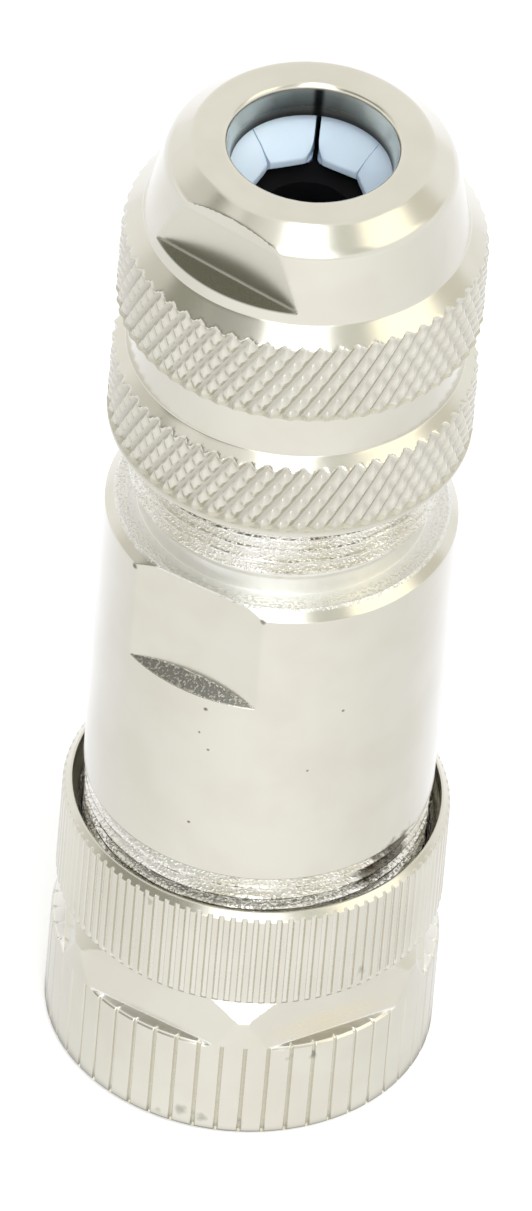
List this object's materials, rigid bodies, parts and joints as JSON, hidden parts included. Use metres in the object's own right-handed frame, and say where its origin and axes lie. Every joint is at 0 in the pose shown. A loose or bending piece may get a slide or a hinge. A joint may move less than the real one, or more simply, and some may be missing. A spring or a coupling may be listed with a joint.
{
  "type": "circular cable connector",
  "caption": "Field-wireable M12 socket connector: coupling nut with internal thread, metal sleeve with wrench flats, knurled gland nut and plastic clamping cage for a round cable.",
  "frame": {"origin": "centre of the front face of the coupling nut, on which the connector stands", "axes": "+Z runs along the connector from the mating end to the cable entry; +Y points to the coding keyway"},
  "size_m": [0.02, 0.02, 0.0595],
  "materials": {
    "nickel": "nickel plated, turned, satin to bright",
    "steel": "bright",
    "gold": "gold plated",
    "insert_plastic": "moulded, matt",
    "cage_plastic": "moulded, satin, pale blue",
    "rubber": "matt black"
  },
  "bodies": {
    "carrier": {"carrier_ring": "nickel", "nut_snap_ring": "steel", "contact_insert": "insert_plastic", "face_seal": "rubber", "terminal_block": "insert_plastic", "contact_1": "gold", "contact_2": "gold", "contact_3": "gold", "contact_4": "gold"},
    "coupling_nut": {"coupling_nut": "nickel"},
    "sleeve_seal": {"sleeve_seal": "rubber"},
    "sleeve": {"body_sleeve": "nickel", "shield_ring": "steel", "shield_iris": "steel", "thrust_washer": "steel"},
    "cable_clamp": {"clamping_cage": "cage_plastic", "cable_seal": "rubber"},
    "clamp_nut": {"clamp_nut": "nickel"},
    "terminal_screw_1": {"terminal_screw_1": "steel"},
    "terminal_screw_2": {"terminal_screw_2": "steel"},
    "terminal_screw_3": {"terminal_screw_3": "steel"},
    "terminal_screw_4": {"terminal_screw_4": "steel"}
  },
  "joints": [
    {"name": "coupling_turn", "type": "hinge", "parent": "carrier", "child": "coupling_nut", "pos_m": [0, 0, 0], "axis": [0, 0, 1], "continuous": true},
    {"name": "sleeve_rise", "type": "slide", "parent": "carrier", "child": "sleeve_seal", "axis": [0, 0, 1], "range_m": [0, 0.00188]},
    {"name": "sleeve_unscrew", "type": "hinge", "parent": "sleeve_seal", "child": "sleeve", "pos_m": [0, 0, 0], "axis": [0, 0, 1], "range_deg": [0, 900]},
    {"name": "clamp_travel", "type": "slide", "parent": "sleeve", "child": "cable_clamp", "axis": [0, 0, 1], "range_m": [-0.003, 0.00525]},
    {"name": "clamp_nut_turn", "type": "hinge", "parent": "cable_clamp", "child": "clamp_nut", "pos_m": [0, 0, 0], "axis": [0, 0, 1], "range_deg": [-1440, 2520]},
    {"name": "terminal_screw_1_turn", "type": "hinge", "parent": "carrier", "child": "terminal_screw_1", "pos_m": [0.00424, 0.00424, 0.01471], "axis": [0.7071, 0.7071, 0], "range_deg": [0, 720]},
    {"name": "terminal_screw_2_turn", "type": "hinge", "parent": "carrier", "child": "terminal_screw_2", "pos_m": [-0.00424, 0.00424, 0.01471], "axis": [-0.7071, 0.7071, 0], "range_deg": [0, 720]},
    {"name": "terminal_screw_3_turn", "type": "hinge", "parent": "carrier", "child": "terminal_screw_3", "pos_m": [-0.00424, -0.00424, 0.01471], "axis": [-0.7071, -0.7071, 0], "range_deg": [0, 720]},
    {"name": "terminal_screw_4_turn", "type": "hinge", "parent": "carrier", "child": "terminal_screw_4", "pos_m": [0.00424, -0.00424, 0.01471], "axis": [0.7071, -0.7071, 0], "range_deg": [0, 720]}
  ],
  "couplings": [
    {"joint": "sleeve_rise", "follows": "sleeve_unscrew", "m_per_rad": 0.00011937},
    {"joint": "clamp_travel", "follows": "clamp_nut_turn", "m_per_rad": 0.00011937}
  ]
}
